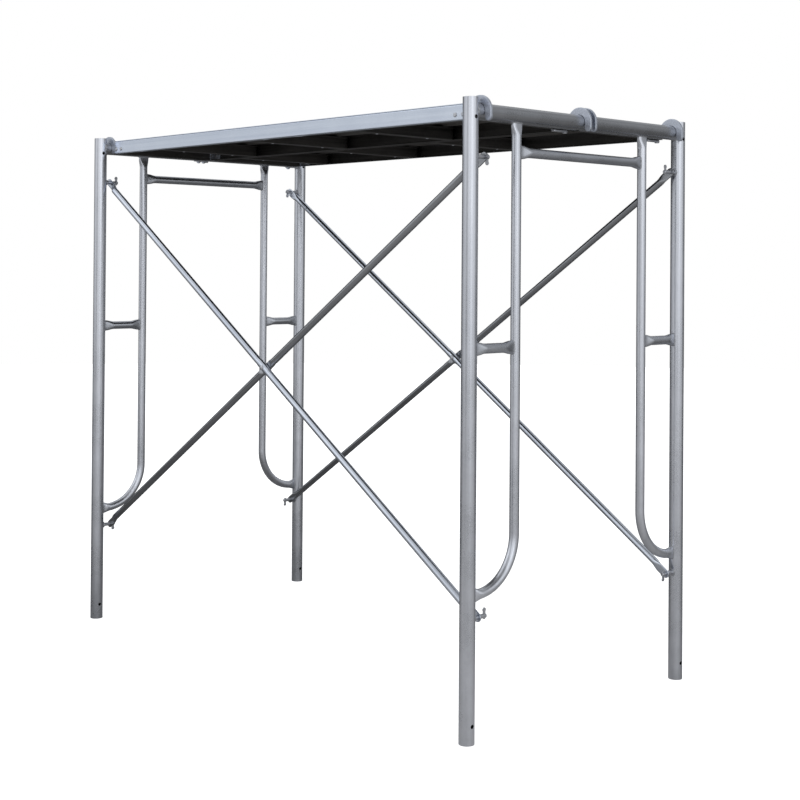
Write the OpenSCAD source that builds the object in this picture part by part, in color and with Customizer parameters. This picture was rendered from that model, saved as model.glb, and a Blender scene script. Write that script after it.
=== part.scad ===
// Frame scaffold section: two welded walk-through end frames, joined by two
// scissor cross braces on flip-lock pins, and bridged by two hook-on planks.
// Origin on the ground at the centre, +X along the bay, +Y across it, +Z up.

/* [Overall] */
// Length of each leg
leg_h = 1700; // [1450:10:2050]
// Distance between the leg centres of one end frame
frame_w = 914; // [762:1:1219]
// Distance between the two end frames, centre to centre
bay_l = 1829; // [1500:1:2438]

/* [Legs and headers] */
// Outside diameter of the legs and headers
main_d = 42.7; // [36:0.1:52]
// Wall of the legs and headers
main_wall = 2.4; // [1.8:0.1:3.2]
// Height of the leg tops above the header axis
header_drop = 35; // [30:1:60]
// Diameter of the cross-drilled coupling pin holes
pin_hole_d = 11; // [8:0.5:14]
// Height of the lower pin holes above the foot of the leg
pin_hole_low = 50; // [30:1:120]
// Depth of the upper pin holes below the top of the leg
pin_hole_top = 53; // [40:1:90]
// Gap kept between welded tubes, where the weld bead sits
weld_gap = 0.1; // [0.05:0.05:0.3]

/* [Hoops, inner rails and rungs] */
// Outside diameter of these small tubes
small_d = 27.2; // [21:0.1:34]
// Wall of these small tubes
small_wall = 1.9; // [1.4:0.1:2.6]
// Distance from the leg axis to the hoop axis
hoop_offset = 180; // [150:1:240]
// Height at which the hoop meets the leg
hoop_foot_z = 386; // [300:1:480]
// Bend radius of the hoop at its axis
hoop_bend_r = 145; // [100:1:150]
// Depth of the inner rail axis below the header axis
rail_drop = 100; // [80:1:160]
// Height of the short rungs between leg and hoop
rung_z = 1035; // [800:1:1200]
// How far a flattened tube end spreads past the tube on each side
flare_w = 5; // [2:0.5:8]
// Length of a flattened tube end
flare_l = 38; // [25:1:60]
// Length of the flattened end on the hoop's foot, next to the bend
foot_flare_l = 22; // [12:1:30]
// Thickness of a flattened tube end
flare_t = 14; // [8:1:20]

/* [Brace pins and flip locks] */
// Diameter of a brace pin
stud_d = 12; // [10:0.5:16]
// Height of the lower pins above the foot of the leg
stud_low = 326; // [250:1:360]
// Depth of the upper pins below the top of the leg
stud_top = 155; // [145:1:260]
// Distance from the face of the leg to the middle of the outer tube's flat end
brace_stand = 16.65; // [14:0.05:24]
// Diameter of the collar at the root of a pin
collar_d = 20; // [17:0.5:26]
// Thickness of the collar
collar_t = 4; // [2:0.5:6]
// Thickness of the flip lock plate
lock_t = 3; // [2:0.5:4]
// Width of the flip lock plate
lock_w = 9; // [7:0.5:9.5]
// Distance from the pivot to the short end of the lock
lock_up = 9.5; // [8:0.5:14]
// Distance from the pivot to the long end of the lock
lock_down = 22; // [18:0.5:30]
// Clearance between the short end of a turning lock and the nearest flat end
lock_swing_gap = 0.5; // [0.3:0.1:3]
// Diameter of the weighted long end of the lock
lock_toe_d = 12; // [9:0.5:14]
// Diameter of the lock's pivot rivet
lock_rivet_d = 4; // [3:0.5:5]
// Clearance on each face of the lock inside the slot of its pin
lock_slip = 0.25; // [0.15:0.05:0.4]

/* [Cross braces] */
// Outside diameter of the brace tubes
brace_d = 21.7; // [17:0.1:27.2]
// Wall of the brace tubes
brace_wall = 1.8; // [1.2:0.1:2.3]
// Distance between the axes of the two tubes of one brace
brace_pitch = 14; // [12:0.5:16]
// Distance from a brace tube's axis to the middle of its flat end
paddle_off = 7; // [5:0.5:8]
// Thickness of a brace tube's flat end
paddle_t = 4; // [3:0.5:6]
// Width of a brace tube's flat end
paddle_w = 26; // [22:1:34]
// Length of the flat end, from the pin hole towards the tube
paddle_l = 25; // [20:1:40]
// Length over which the flat end becomes a round tube
taper_l = 32; // [20:1:60]
// Radial clearance of the brace's hole on the pin
brace_hole_slip = 0.5; // [0.25:0.25:1.5]
// How much longer the dented stretch is than the crossing of the two tubes
dent_extra = 11.45; // [6:0.05:20]
// Clearance between the two tubes where they cross
dent_gap = 0.4; // [0.3:0.1:1]
// Diameter of the centre rivet
centre_rivet_d = 8; // [6:0.5:10]
// Diameter of the centre rivet's heads
centre_head_d = 16; // [12:0.5:18]
// Thickness of the centre rivet's heads
centre_head_t = 3; // [2:0.5:4]

/* [Planks] */
// Height of the deck above the header axis
deck_rise = 25; // [23:0.5:30]
// Height of a plank, sheet included
plank_h = 45; // [44:1:60]
// Gap between the two planks
plank_gap = 10; // [6:1:24]
// Gap between a plank's side and the leg
leg_clear = 7.65; // [4:0.05:14]
// Gap between the hooks' bands and the end of a plank's rails
end_clear = 5.5; // [3:0.5:24]
// Thickness of the deck sheet
sheet_t = 2; // [1.2:0.1:3]
// Depth of the ribs pressed into the deck sheet
rib_h = 6; // [3:0.5:8]
// Width of a rib at the deck's surface
rib_w = 22; // [14:1:30]
// Number of ribs in one deck sheet
rib_count = 5; // [3:1:7]
// Wall of the side rails and end channels
rail_t = 2.5; // [1.6:0.1:3]
// Width of the rail's lips, measured inside the web
lip_w = 11; // [10.5:0.5:16]
// Gap between an end channel's bottom flange and the header
flange_gap = 5.15; // [4:0.05:8]
// Width of an end channel's top flange, under the sheet
top_flange_w = 18; // [10:1:30]
// Width of a cross stiffener
stiffener_w = 36; // [24:1:50]
// Width of each top flange of a cross stiffener
stiffener_lip = 12; // [8:1:18]
// Wall of a cross stiffener
stiffener_t = 2; // [1.5:0.5:3]
// Distance from the front plank's left end to its first stiffener
front_first_stiffener = 269; // [60:1:300]
// Distance from the back plank's left end to its first stiffener
back_first_stiffener = 157; // [60:1:300]
// Length of a plank that its row of stiffeners does not span
stiffener_free_l = 738; // [500:1:800]
// Distance from a plank's middle to a stiffener rivet
stiffener_rivet_y = 104; // [60:1:140]
// Play between a channel's end and the lips of the rails
channel_play = 0.3; // [0.2:0.1:0.5]

/* [Hooks and latches] */
// Thickness of a hook plate
hook_t = 8; // [6:0.5:8]
// Width of the hook's band around the header
hook_band = 21.35; // [16:0.05:24]
// Clearance between a hook and the header
hook_gap = 0.3; // [0.3:0.05:1]
// Depth of the hook's nose below the header axis
nose_drop = 27; // [22:1:34]
// Length of a hook plate's shank, from its band to its tail
hook_shank_l = 61.5; // [55:0.5:95]
// Distance from the end of the rail to the first hook rivet
hook_rivet_in = 8; // [7:0.5:14]
// Distance between the two rivets of a hook
hook_rivet_pitch = 30; // [22:1:36]
// Diameter of the hook rivets
hook_rivet_d = 8; // [6:0.5:9]
// Diameter of the hook rivets' heads
hook_head_d = 14; // [11:0.5:16]
// Thickness of the hook rivets' heads
hook_head_t = 2.6; // [1.5:0.1:3.5]
// How far the tip of a closed latch reaches past the header's axis
latch_past = 13.5; // [8:0.5:16]
// Width of a latch
latch_w = 16; // [12:1:18]
// Thickness of a latch
latch_t = 5; // [3:0.5:6]
// Clearance of a closed latch under the header
latch_clear = 0.6; // [0.4:0.1:1.2]
// Least thickness of the spacer between a latch and the end channel
latch_spacer = 1.2; // [1:0.1:3]
// Distance from the hook plate to a latch's pivot
latch_inset = 13; // [10:1:30]
// Diameter of a latch's pivot rivet
latch_pivot_d = 8; // [6:0.5:9]
// Radial clearance of all the rivets and pivots
pivot_slip = 0.08; // [0.03:0.01:0.1]

/* [Hidden] */
$fn = 48;
main_r = main_d / 2;
small_r = small_d / 2;
bay_x = bay_l / 2;
leg_y = frame_w / 2;
header_z = leg_h - header_drop;
rail_z = header_z - rail_drop;
hoop_y = leg_y - hoop_offset;
bend_z = hoop_foot_z + hoop_bend_r;
header_trim = 9;                        // flat cut of the header's ends, from the leg axis
cut = 2 * main_d;                       // length of the cutting cylinders, past every tube

top_stud_z = leg_h - stud_top;
paddle_y = main_r + brace_stand;        // middle of the outer tube's flat ends, from the leg axis
lock_slot_w = lock_t + 2 * lock_slip;
lock_pivot = paddle_y + brace_pitch + paddle_t / 2 + lock_swing_gap + lock_up;
stud_tip = lock_pivot + 6;
tip_chamfer = 1.5;
lock_head_d = 6.4;
lock_head_t = 1.2;

brace_r = brace_d / 2;
brace_rise = top_stud_z - stud_low;
brace_run = bay_l;
brace_l = sqrt(brace_run * brace_run + brace_rise * brace_rise);
brace_angle = atan2(brace_rise, brace_run);
brace_y = paddle_y - paddle_off + brace_pitch / 2; // halfway between the tubes, from the leg axis
taper_w = brace_d * 0.8;
dent_y = (brace_pitch - dent_gap) / 2;  // face of the dent, from the tube's axis
dent_l = brace_d / tan(brace_angle) + dent_extra;

deck_z = header_z + deck_rise;
plank_edge = leg_y - main_r - leg_clear;
plank_w = plank_edge - plank_gap / 2;
plank_mid = (plank_edge + plank_gap / 2) / 2;
hook_in_r = main_r + hook_gap;
hook_out_r = hook_in_r + hook_band;
end_gap = hook_out_r + end_clear;       // from the header's axis to the end of a plank's rails
plank_x = bay_x - end_gap;              // end of a plank's rails, from the middle
rail_top = deck_z - sheet_t;
rail_bottom = deck_z - plank_h;
rib_floor = rail_top - rib_h;
channel_top = rib_floor - channel_play;
flange_w = end_gap - main_r - flange_gap;
channel_y = plank_w / 2 - rail_t - lip_w - channel_play;
rib_pitch = (2 * channel_y - rib_w) / rib_count;
stiffener_pitch = (2 * plank_x - stiffener_free_l) / 2;
rivet_tail_t = 2;
rivet_play = 0.2;                       // between a rivet's head and the plate under it
small_rivet_d = 5;
small_head_d = 10;

hook_y = plank_w / 2 - rail_t - hook_t; // inner face of a hook plate, from the plank's middle
shank_top = rail_top - rail_t - 0.5 - header_z;
shank_low = rail_bottom + rail_t + 0.5 - header_z;
hook_rivet_z = (shank_top + shank_low) / 2 - 5.5;
hook_tail = hook_out_r + hook_shank_l;  // from the header's axis
latch_top = min(header_z - main_r - latch_clear, rail_bottom - latch_spacer - 2 * rivet_play);
latch_x = plank_x + latch_w / 2;
latch_reach = end_gap - latch_w / 2 + latch_past;
latch_y = hook_y - latch_inset;
latch_head_t = 2.5;
washer_d = 14;

// ---- Placing: end is 1 for right and -1 for left, side is 1 for back and -1 for front

module at_end(end) { mirror([end < 0 ? 1 : 0, 0, 0]) translate([bay_x, 0, 0]) children(); }

module on_side(side) { mirror([0, side > 0 ? 1 : 0, 0]) children(); }

// Turns local +Z to +Y and local +Y to -Z
module along_y() { rotate([-90, 0, 0]) children(); }

// Turns a drawing so that its X runs along +Y and its Y along +Z
module across() { rotate([90, 0, 90]) children(); }

// Turns a drawing so that its X runs along +X and its Y along +Z
module upright() { rotate([90, 0, 0]) children(); }

// ---- Legs and headers

module leg() {
  color("silver") translate([0, -leg_y, 0]) difference() {
    cylinder(r = main_r, h = leg_h);
    translate([0, 0, -1]) cylinder(r = main_r - main_wall, h = leg_h + 2);
    for (z = [pin_hole_low, leg_h - pin_hole_top])
      translate([0, 0, z]) rotate([0, 90, 0]) cylinder(d = pin_hole_d, h = cut, center = true);
  }
}

module header() {
  color("silver") translate([0, 0, header_z]) difference() {
    rotate([90, 0, 0]) cylinder(r = main_r, h = frame_w - 2 * header_trim, center = true);
    rotate([90, 0, 0]) cylinder(r = main_r - main_wall, h = frame_w, center = true);
    for (s = [-1, 1])
      translate([0, s * leg_y, 0]) cylinder(r = main_r + weld_gap, h = cut, center = true);
  }
}

// ---- Small tubes: each runs along local +Z, and its flat ends spread along local Y

module flat_end(target_r, length) {
  spread = small_r + flare_w;
  waist = small_r - 2.5;
  across() linear_extrude(height = flare_t, center = true)
    polygon([[-spread, 0], [spread, 0], [spread, target_r + 4], [waist, target_r + length],
             [-waist, target_r + length], [-spread, target_r + 4]]);
}

module cope(target_r) {
  rotate([90, 0, 0]) cylinder(r = target_r + weld_gap, h = cut, center = true);
}

module short_tube(span, from_r, to_r) {
  color("silver") difference() {
    union() {
      cylinder(r = small_r, h = span);
      flat_end(from_r, flare_l);
      translate([0, 0, span]) mirror([0, 0, 1]) flat_end(to_r, flare_l);
    }
    translate([0, 0, -1]) cylinder(r = small_r - small_wall, h = span + 2);
    cope(from_r);
    translate([0, 0, span]) cope(to_r);
  }
}

module inner_rail() { translate([0, -hoop_y, rail_z]) along_y() short_tube(2 * hoop_y, small_r, small_r); }

module rung() { translate([0, -leg_y, rung_z]) along_y() short_tube(hoop_offset, main_r, small_r); }

module hoop_path(r) {
  translate([0, -hoop_y, bend_z]) cylinder(r = r, h = header_z - bend_z);
  translate([0, -hoop_y - hoop_bend_r, bend_z]) across() rotate([0, 0, -90])
    rotate_extrude(angle = 90) translate([hoop_bend_r, 0]) circle(r = r);
  translate([0, -leg_y, hoop_foot_z]) along_y() cylinder(r = r, h = hoop_offset - hoop_bend_r);
}

module hoop() {
  color("silver") difference() {
    union() {
      hoop_path(small_r);
      translate([0, -hoop_y, header_z]) mirror([0, 0, 1]) flat_end(main_r, flare_l);
      translate([0, -leg_y, hoop_foot_z]) along_y() flat_end(main_r, foot_flare_l);
    }
    hoop_path(small_r - small_wall);
    translate([0, -hoop_y, header_z]) cope(main_r);
    translate([0, -leg_y, hoop_foot_z]) cylinder(r = main_r + weld_gap, h = cut, center = true);
  }
}

// ---- Brace pins and flip locks, drawn for the front legs

module at_studs() { for (z = [stud_low, top_stud_z]) at_stud(z) children(); }

module at_stud(z) { translate([0, -leg_y, z]) along_y() children(); }

module stud() {
  difference() {
    union() {
      cylinder(d = stud_d, h = stud_tip - tip_chamfer);
      translate([0, 0, stud_tip - tip_chamfer])
        cylinder(d1 = stud_d, d2 = stud_d - 2 * tip_chamfer, h = tip_chamfer);
      cylinder(d = collar_d, h = main_r + collar_t);
    }
    cope(main_r);
    translate([-lock_slot_w / 2, -stud_d, lock_pivot - lock_up - 0.6])
      cube([lock_slot_w, 2 * stud_d, stud_tip]);
    translate([0, 0, lock_pivot]) rotate([0, 90, 0])
      cylinder(d = lock_rivet_d + 2 * pivot_slip, h = 2 * stud_d, center = true);
  }
}

module brace_pins() { color("gainsboro") for (s = [-1, 1]) on_side(s) at_studs() stud(); }

module lock_rivet() {
  translate([0, 0, lock_pivot]) rotate([0, 90, 0]) {
    cylinder(d = lock_rivet_d, h = stud_d + 2 * lock_head_t, center = true);
    for (s = [-1, 1]) mirror([0, 0, s > 0 ? 0 : 1]) translate([0, 0, stud_d / 2 + 0.05])
      cylinder(d = lock_head_d, h = lock_head_t - 0.05);
  }
}

module lock_rivets() { color("gray") for (s = [-1, 1]) on_side(s) at_studs() lock_rivet(); }

// The plate lies along local Y, its heavy toe down, or up where it was left turned
module lock(z, toe_up = false) {
  color("lightgray") at_stud(z) translate([0, 0, lock_pivot]) rotate([0, -90, 0])
    linear_extrude(height = lock_t, center = true) mirror([0, toe_up ? 1 : 0]) difference() {
      union() {
        translate([0, -lock_up + lock_w / 2]) circle(d = lock_w);
        translate([-lock_w / 2, -lock_up + lock_w / 2])
          square([lock_w, lock_up - lock_w / 2 + lock_down - lock_toe_d / 2]);
        translate([0, lock_down - lock_toe_d / 2]) circle(d = lock_toe_d);
      }
      circle(d = lock_rivet_d + 2 * pivot_slip);
    }
}

// ---- Cross braces: a tube runs along local X from its upper left hole to its
// lower right one. Local Y is across the scaffold, away from the legs, and 0 at
// the tube's own axis. The other tube lies on the facing side, 1 or -1.

module brace_end() {
  linear_extrude(height = taper_w, center = true)
    polygon([[paddle_l, paddle_off - paddle_t / 2], [paddle_l + taper_l, -brace_r],
             [paddle_l + taper_l + brace_d / 2, -brace_r / 2],
             [paddle_l + taper_l + brace_d / 2, brace_r / 2],
             [paddle_l + taper_l, brace_r], [paddle_l, paddle_off + paddle_t / 2]]);
  translate([0, paddle_off, 0]) upright() linear_extrude(height = paddle_t, center = true) {
    circle(d = paddle_w);
    translate([0, -paddle_w / 2]) square([paddle_l, paddle_w]);
    polygon([[paddle_l, -paddle_w / 2], [paddle_l + paddle_t, -taper_w / 2],
             [paddle_l + paddle_t, taper_w / 2], [paddle_l, paddle_w / 2]]);
  }
}

module brace_tube(facing) {
  tube_l = brace_l - 2 * (paddle_l + taper_l);
  color("lightsteelblue") difference() {
    union() {
      difference() {
        rotate([0, 90, 0]) cylinder(r = brace_r, h = tube_l, center = true);
        rotate([0, 90, 0]) cylinder(r = brace_r - brace_wall, h = tube_l + 2, center = true);
      }
      rotate([0, 90, 0]) cylinder(r = brace_r - brace_wall / 2, h = dent_l + 6, center = true);
      translate([-brace_l / 2, 0, 0]) brace_end();
      translate([brace_l / 2, 0, 0]) mirror([1, 0, 0]) brace_end();
    }
    translate([-dent_l / 2, facing > 0 ? dent_y : -dent_y - brace_d, -brace_d])
      cube([dent_l, brace_d, 2 * brace_d]);
    for (x = [-brace_l / 2, brace_l / 2])
      translate([x, 0, 0]) rotate([90, 0, 0])
        cylinder(d = stud_d + 2 * brace_hole_slip, h = 2 * brace_d, center = true);
    rotate([90, 0, 0]) cylinder(d = centre_rivet_d + 2 * pivot_slip, h = 2 * brace_d, center = true);
  }
}

// Places the front brace's middle, halfway between its two tubes
module at_brace(side) {
  rotate([0, 0, side > 0 ? 180 : 0])
    translate([0, -leg_y + brace_y, (top_stud_z + stud_low) / 2]) children();
}

module brace_outer(side) {
  at_brace(side) translate([0, -brace_pitch / 2, 0]) rotate([0, brace_angle, 0])
    brace_tube(1);
}

module brace_inner(side) {
  at_brace(side) translate([0, brace_pitch / 2, 0]) rotate([0, -brace_angle, 0])
    brace_tube(-1);
}

module brace_rivet(side) {
  reach = brace_pitch / 2 + brace_r + rivet_play;
  color("gray") at_brace(side) {
    rotate([90, 0, 0]) cylinder(d = centre_rivet_d, h = 2 * (reach + 1), center = true);
    for (s = [-1, 1]) mirror([0, s > 0 ? 0 : 1, 0]) translate([0, reach, 0]) along_y()
      cylinder(d1 = centre_head_d, d2 = centre_head_d - 4, h = centre_head_t);
  }
}

// ---- Planks: each is drawn about the middle of its own width

module at_plank(side) { translate([0, side * plank_mid, 0]) children(); }

module at_plank_end(end) { mirror([end < 0 ? 1 : 0, 0, 0]) translate([plank_x, 0, 0]) children(); }

module sheet() {
  half = plank_w / 2;
  floor_w = rib_w / 4;
  rib_y = [for (i = [0 : rib_count - 1]) (i - (rib_count - 1) / 2) * rib_pitch];
  top = [for (y = rib_y) each [[y - rib_w / 2, 0], [y - floor_w, -rib_h],
                               [y + floor_w, -rib_h], [y + rib_w / 2, 0]]];
  low = [for (p = top) [p[0], p[1] - sheet_t]];
  low_back = [for (i = [len(low) - 1 : -1 : 0]) low[i]];
  color("darkgray") translate([-plank_x, 0, deck_z]) across() linear_extrude(height = 2 * plank_x)
    polygon(concat([[-half, 0]], top, [[half, 0], [half, -sheet_t]], low_back, [[-half, -sheet_t]]));
}

// Side rail: a lipped channel with its web outwards, on the +Y side of the plank
module side_rail() {
  out = plank_w / 2;
  lip = out - rail_t - lip_w;
  color("lightsteelblue") difference() {
    translate([-plank_x, 0, 0]) across() linear_extrude(height = 2 * plank_x)
      polygon([[lip, rail_bottom], [out, rail_bottom], [out, rail_top], [lip, rail_top],
               [lip, rail_top - rail_t], [out - rail_t, rail_top - rail_t],
               [out - rail_t, rail_bottom + rail_t], [lip, rail_bottom + rail_t]]);
    for (end = [-1, 1]) at_plank_end(end) at_hook_rivets()
      cylinder(d = hook_rivet_d + 2 * pivot_slip, h = 4 * hook_t, center = true);
  }
}

module end_channel(end) {
  color("darkgray") at_plank_end(end) difference() {
    translate([0, channel_y, 0]) upright() linear_extrude(height = 2 * channel_y)
      polygon([[-top_flange_w, channel_top], [0, channel_top], [0, rail_bottom + rail_t],
               [flange_w, rail_bottom + rail_t], [flange_w, rail_bottom], [-rail_t, rail_bottom],
               [-rail_t, channel_top - rail_t], [-top_flange_w, channel_top - rail_t]]);
    translate([latch_x - plank_x, latch_y, rail_bottom])
      cylinder(d = latch_pivot_d + 2 * pivot_slip, h = 4 * rail_t, center = true);
  }
}

module at_stiffeners(side) {
  first = side < 0 ? front_first_stiffener : back_first_stiffener;
  for (i = [0 : 2]) translate([-plank_x + first + i * stiffener_pitch, 0, 0]) children();
}

module at_stiffener_rivets() {
  for (s = [-1, 1]) translate([0, s * stiffener_rivet_y, rail_bottom]) children();
}

module stiffener() {
  half = stiffener_w / 2;
  in = half - stiffener_t;
  difference() {
    translate([0, channel_y, 0]) upright() linear_extrude(height = 2 * channel_y)
      polygon([[-half, rail_bottom], [half, rail_bottom], [half, channel_top - stiffener_t],
               [half + stiffener_lip, channel_top - stiffener_t], [half + stiffener_lip, channel_top],
               [in, channel_top], [in, rail_bottom + stiffener_t], [-in, rail_bottom + stiffener_t],
               [-in, channel_top], [-half - stiffener_lip, channel_top],
               [-half - stiffener_lip, channel_top - stiffener_t], [-half, channel_top - stiffener_t]]);
    at_stiffener_rivets() cylinder(d = small_rivet_d + 2 * pivot_slip, h = 20, center = true);
  }
}

module stiffeners(side) { color("darkgray") at_stiffeners(side) stiffener(); }

// ---- Hooks: drawn about the header's axis, with X from the plank towards the header

module hook_outline() {
  nose_r = hook_band / 2;
  difference() {
    union() {
      intersection() {
        circle(r = hook_out_r);
        translate([-hook_out_r, 0]) square([2 * hook_out_r, hook_out_r]);
      }
      translate([hook_in_r, -nose_drop + nose_r]) square([hook_band, nose_drop - nose_r]);
      translate([hook_in_r + nose_r, -nose_drop + nose_r]) circle(r = nose_r);
      polygon([[-hook_tail, shank_low], [-hook_in_r, shank_low], [-hook_in_r, 0],
               [-hook_out_r + 2, shank_top], [-hook_tail + 6, shank_top],
               [-hook_tail, shank_top - 6]]);
      translate([-hook_out_r, shank_low]) square([hook_band, -shank_low]);
    }
    circle(r = hook_in_r);
    translate([-hook_in_r, -hook_out_r]) square([2 * hook_in_r, hook_out_r]);
  }
}

// Origin at the end of the rails: turns local +Z to +Y at each hook rivet
module at_hook_rivets() {
  for (i = [0, 1])
    translate([-hook_rivet_in - i * hook_rivet_pitch, plank_w / 2 - rail_t, header_z + hook_rivet_z])
      along_y() children();
}

module hook() {
  difference() {
    translate([end_gap, hook_y + hook_t, header_z]) upright() linear_extrude(height = hook_t)
      hook_outline();
    at_hook_rivets() cylinder(d = hook_rivet_d + 2 * pivot_slip, h = 4 * hook_t, center = true);
  }
}

module hooks(end) {
  color("gainsboro") at_plank_end(end) {
    hook();
    mirror([0, 1, 0]) hook();
  }
}

module hook_rivet() {
  grip = hook_t + rivet_play;
  translate([0, 0, -grip - rivet_tail_t / 2])
    cylinder(d = hook_rivet_d, h = grip + rail_t + rivet_play + rivet_tail_t);
  translate([0, 0, rail_t + rivet_play])
    cylinder(d1 = hook_head_d, d2 = hook_head_d - 4, h = hook_head_t);
  translate([0, 0, -grip - rivet_tail_t]) cylinder(d = hook_head_d - 2, h = rivet_tail_t);
}

module stiffener_rivet() {
  translate([0, 0, -rivet_play - 1]) cylinder(d = small_rivet_d, h = stiffener_t + 2 * rivet_play + 2);
  translate([0, 0, -rivet_play]) mirror([0, 0, 1])
    cylinder(d1 = small_head_d, d2 = small_head_d - 4, h = rivet_tail_t);
  translate([0, 0, stiffener_t + rivet_play]) cylinder(d = small_head_d - 2, h = rivet_tail_t);
}

// ---- Latches: a bar under the end channel that swings out below the header

module at_latch() { translate([latch_x - plank_x, latch_y, 0]) children(); }

module latch(end) {
  color("gainsboro") at_plank_end(end) at_latch() translate([0, 0, latch_top - latch_t])
    linear_extrude(height = latch_t) difference() {
      union() {
        circle(d = latch_w);
        translate([-latch_w / 2, -latch_reach + latch_w / 2])
          square([latch_w, latch_reach - latch_w / 2]);
        translate([0, -latch_reach + latch_w / 2]) circle(d = latch_w);
      }
      circle(d = latch_pivot_d + 2 * pivot_slip);
    }
}

module latch_pivot() {
  low = latch_top - latch_t - rivet_play;
  translate([0, 0, low - latch_head_t]) cylinder(d = washer_d, h = latch_head_t);
  translate([0, 0, low - 1]) cylinder(d = latch_pivot_d, h = rail_bottom + rail_t + rivet_play + 1 - low + 1);
  translate([0, 0, latch_top + rivet_play])
    cylinder(d = washer_d, h = rail_bottom - latch_top - 2 * rivet_play);
  translate([0, 0, rail_bottom + rail_t + rivet_play]) cylinder(d = washer_d, h = rivet_tail_t);
}

module plank_rivets(side) {
  color("gray") at_plank(side) {
    for (end = [-1, 1]) at_plank_end(end) {
      at_latch() latch_pivot();
      for (s = [-1, 1]) on_side(s) at_hook_rivets() hook_rivet();
    }
    at_stiffeners(side) at_stiffener_rivets() stiffener_rivet();
  }
}

// ---- One module for each sub-part

module right_front_leg() { at_end(1) on_side(-1) leg(); }
module right_back_leg() { at_end(1) on_side(1) leg(); }
module right_header() { at_end(1) header(); }
module right_front_hoop() { at_end(1) on_side(-1) hoop(); }
module right_back_hoop() { at_end(1) on_side(1) hoop(); }
module right_inner_rail() { at_end(1) inner_rail(); }
module right_front_rung() { at_end(1) on_side(-1) rung(); }
module right_back_rung() { at_end(1) on_side(1) rung(); }
module right_brace_pins() { at_end(1) brace_pins(); }
module right_lock_rivets() { at_end(1) lock_rivets(); }
module left_front_leg() { at_end(-1) on_side(-1) leg(); }
module left_back_leg() { at_end(-1) on_side(1) leg(); }
module left_header() { at_end(-1) header(); }
module left_front_hoop() { at_end(-1) on_side(-1) hoop(); }
module left_back_hoop() { at_end(-1) on_side(1) hoop(); }
module left_inner_rail() { at_end(-1) inner_rail(); }
module left_front_rung() { at_end(-1) on_side(-1) rung(); }
module left_back_rung() { at_end(-1) on_side(1) rung(); }
module left_brace_pins() { at_end(-1) brace_pins(); }
module left_lock_rivets() { at_end(-1) lock_rivets(); }

module front_brace_outer_tube() { brace_outer(-1); }
module front_brace_inner_tube() { brace_inner(-1); }
module front_brace_rivet() { brace_rivet(-1); }
module back_brace_outer_tube() { brace_outer(1); }
module back_brace_inner_tube() { brace_inner(1); }
module back_brace_rivet() { brace_rivet(1); }

module right_front_top_lock() { at_end(1) on_side(-1) lock(top_stud_z); }
module right_front_bottom_lock() { at_end(1) on_side(-1) lock(stud_low, toe_up = true); }
module right_back_top_lock() { at_end(1) on_side(1) lock(top_stud_z, toe_up = true); }
module right_back_bottom_lock() { at_end(1) on_side(1) lock(stud_low); }
module left_front_top_lock() { at_end(-1) on_side(-1) lock(top_stud_z, toe_up = true); }
module left_front_bottom_lock() { at_end(-1) on_side(-1) lock(stud_low); }
module left_back_top_lock() { at_end(-1) on_side(1) lock(top_stud_z); }
module left_back_bottom_lock() { at_end(-1) on_side(1) lock(stud_low); }

module front_plank_sheet() { at_plank(-1) sheet(); }
module front_plank_outer_rail() { at_plank(-1) mirror([0, 1, 0]) side_rail(); }
module front_plank_inner_rail() { at_plank(-1) side_rail(); }
module front_plank_left_end() { at_plank(-1) end_channel(-1); }
module front_plank_right_end() { at_plank(-1) end_channel(1); }
module front_plank_stiffeners() { at_plank(-1) stiffeners(-1); }
module front_plank_left_hooks() { at_plank(-1) hooks(-1); }
module front_plank_right_hooks() { at_plank(-1) hooks(1); }
module front_plank_rivets() { plank_rivets(-1); }
module front_plank_left_latch() { at_plank(-1) latch(-1); }
module front_plank_right_latch() { at_plank(-1) latch(1); }
module back_plank_sheet() { at_plank(1) sheet(); }
module back_plank_outer_rail() { at_plank(1) side_rail(); }
module back_plank_inner_rail() { at_plank(1) mirror([0, 1, 0]) side_rail(); }
module back_plank_left_end() { at_plank(1) end_channel(-1); }
module back_plank_right_end() { at_plank(1) end_channel(1); }
module back_plank_stiffeners() { at_plank(1) stiffeners(1); }
module back_plank_left_hooks() { at_plank(1) hooks(-1); }
module back_plank_right_hooks() { at_plank(1) hooks(1); }
module back_plank_rivets() { plank_rivets(1); }
module back_plank_left_latch() { at_plank(1) latch(-1); }
module back_plank_right_latch() { at_plank(1) latch(1); }

right_front_leg();
right_back_leg();
right_header();
right_front_hoop();
right_back_hoop();
right_inner_rail();
right_front_rung();
right_back_rung();
right_brace_pins();
right_lock_rivets();
left_front_leg();
left_back_leg();
left_header();
left_front_hoop();
left_back_hoop();
left_inner_rail();
left_front_rung();
left_back_rung();
left_brace_pins();
left_lock_rivets();
front_brace_outer_tube();
front_brace_inner_tube();
front_brace_rivet();
back_brace_outer_tube();
back_brace_inner_tube();
back_brace_rivet();
right_front_top_lock();
right_front_bottom_lock();
right_back_top_lock();
right_back_bottom_lock();
left_front_top_lock();
left_front_bottom_lock();
left_back_top_lock();
left_back_bottom_lock();
front_plank_sheet();
front_plank_outer_rail();
front_plank_inner_rail();
front_plank_left_end();
front_plank_right_end();
front_plank_stiffeners();
front_plank_left_hooks();
front_plank_right_hooks();
front_plank_rivets();
front_plank_left_latch();
front_plank_right_latch();
back_plank_sheet();
back_plank_outer_rail();
back_plank_inner_rail();
back_plank_left_end();
back_plank_right_end();
back_plank_stiffeners();
back_plank_left_hooks();
back_plank_right_hooks();
back_plank_rivets();
back_plank_left_latch();
back_plank_right_latch();
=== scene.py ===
import math
import bpy
import bmesh
from mathutils import Matrix, Vector


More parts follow.
